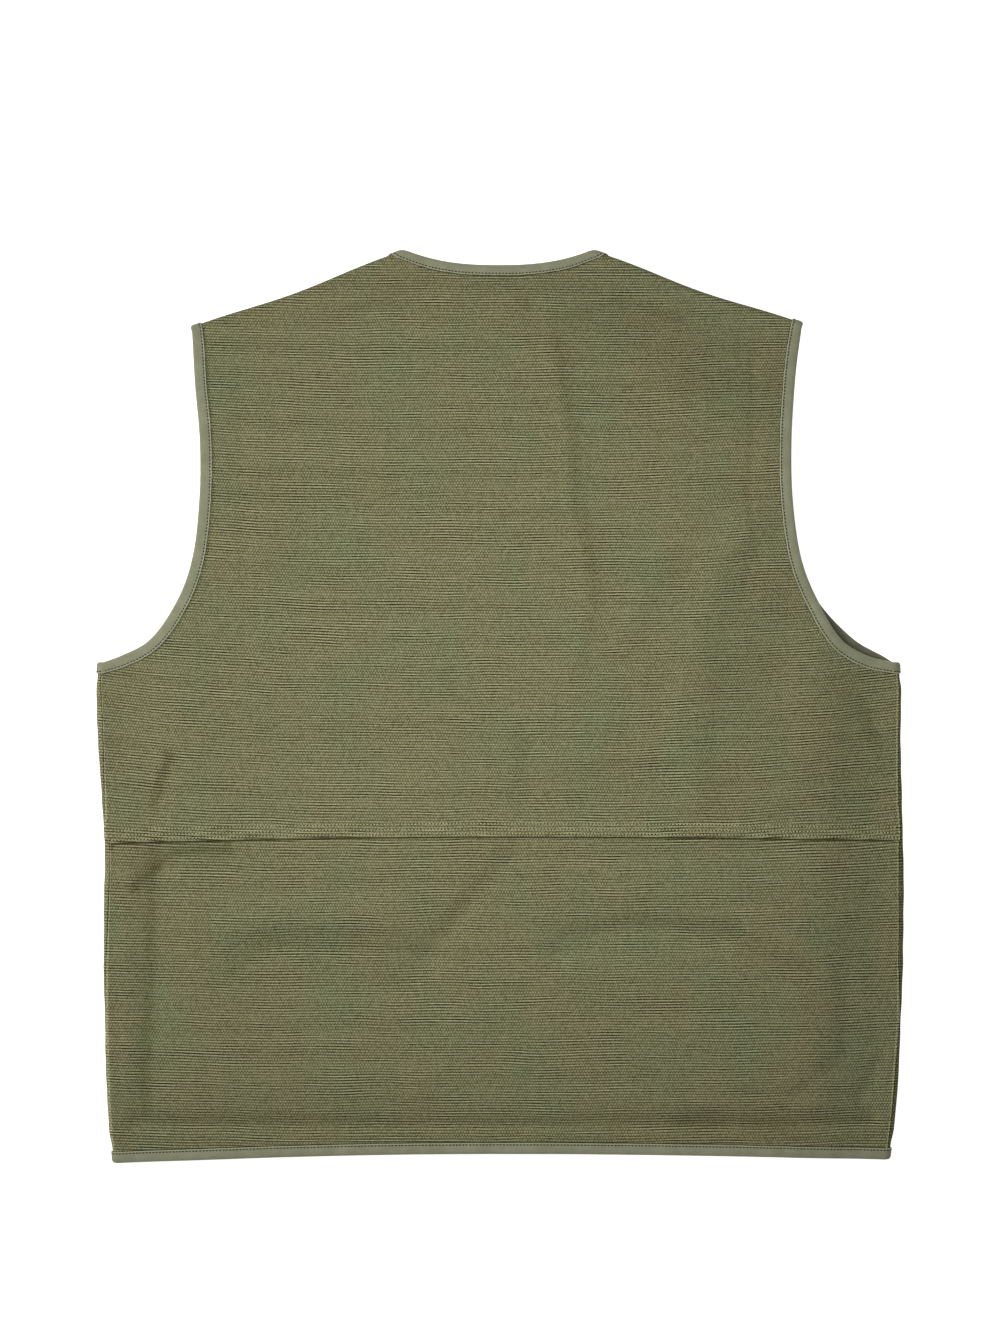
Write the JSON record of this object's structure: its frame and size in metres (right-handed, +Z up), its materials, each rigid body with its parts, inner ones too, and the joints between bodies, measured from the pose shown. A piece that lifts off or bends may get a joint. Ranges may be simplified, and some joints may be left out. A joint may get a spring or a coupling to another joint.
{
  "type": "gilet",
  "caption": "Sleeveless canvas work waistcoat, lying flat on its front: back and front panels, folded binding round every edge, front zip, open neck, armholes and hem.",
  "frame": {"origin": "middle of the gilet's outline, on the surface that it lies on", "axes": "+Z up, out of the gilet's back; +Y along the body from the hem to the neck; +X to the right as seen from above"},
  "size_m": [0.6224, 0.7046, 0.0204],
  "materials": {
    "canvas": "matt woven cotton",
    "binding_tape": "matt smooth cotton tape",
    "zip": "moulded chain on woven tape"
  },
  "bodies": {
    "root": {"back_upper": "canvas", "back_lower": "canvas", "front_left": "canvas", "front_right": "canvas", "neck_binding": "binding_tape", "armhole_binding_left": "binding_tape", "armhole_binding_right": "binding_tape", "hem_binding": "binding_tape", "front_zip": "zip"}
  },
  "joints": []
}
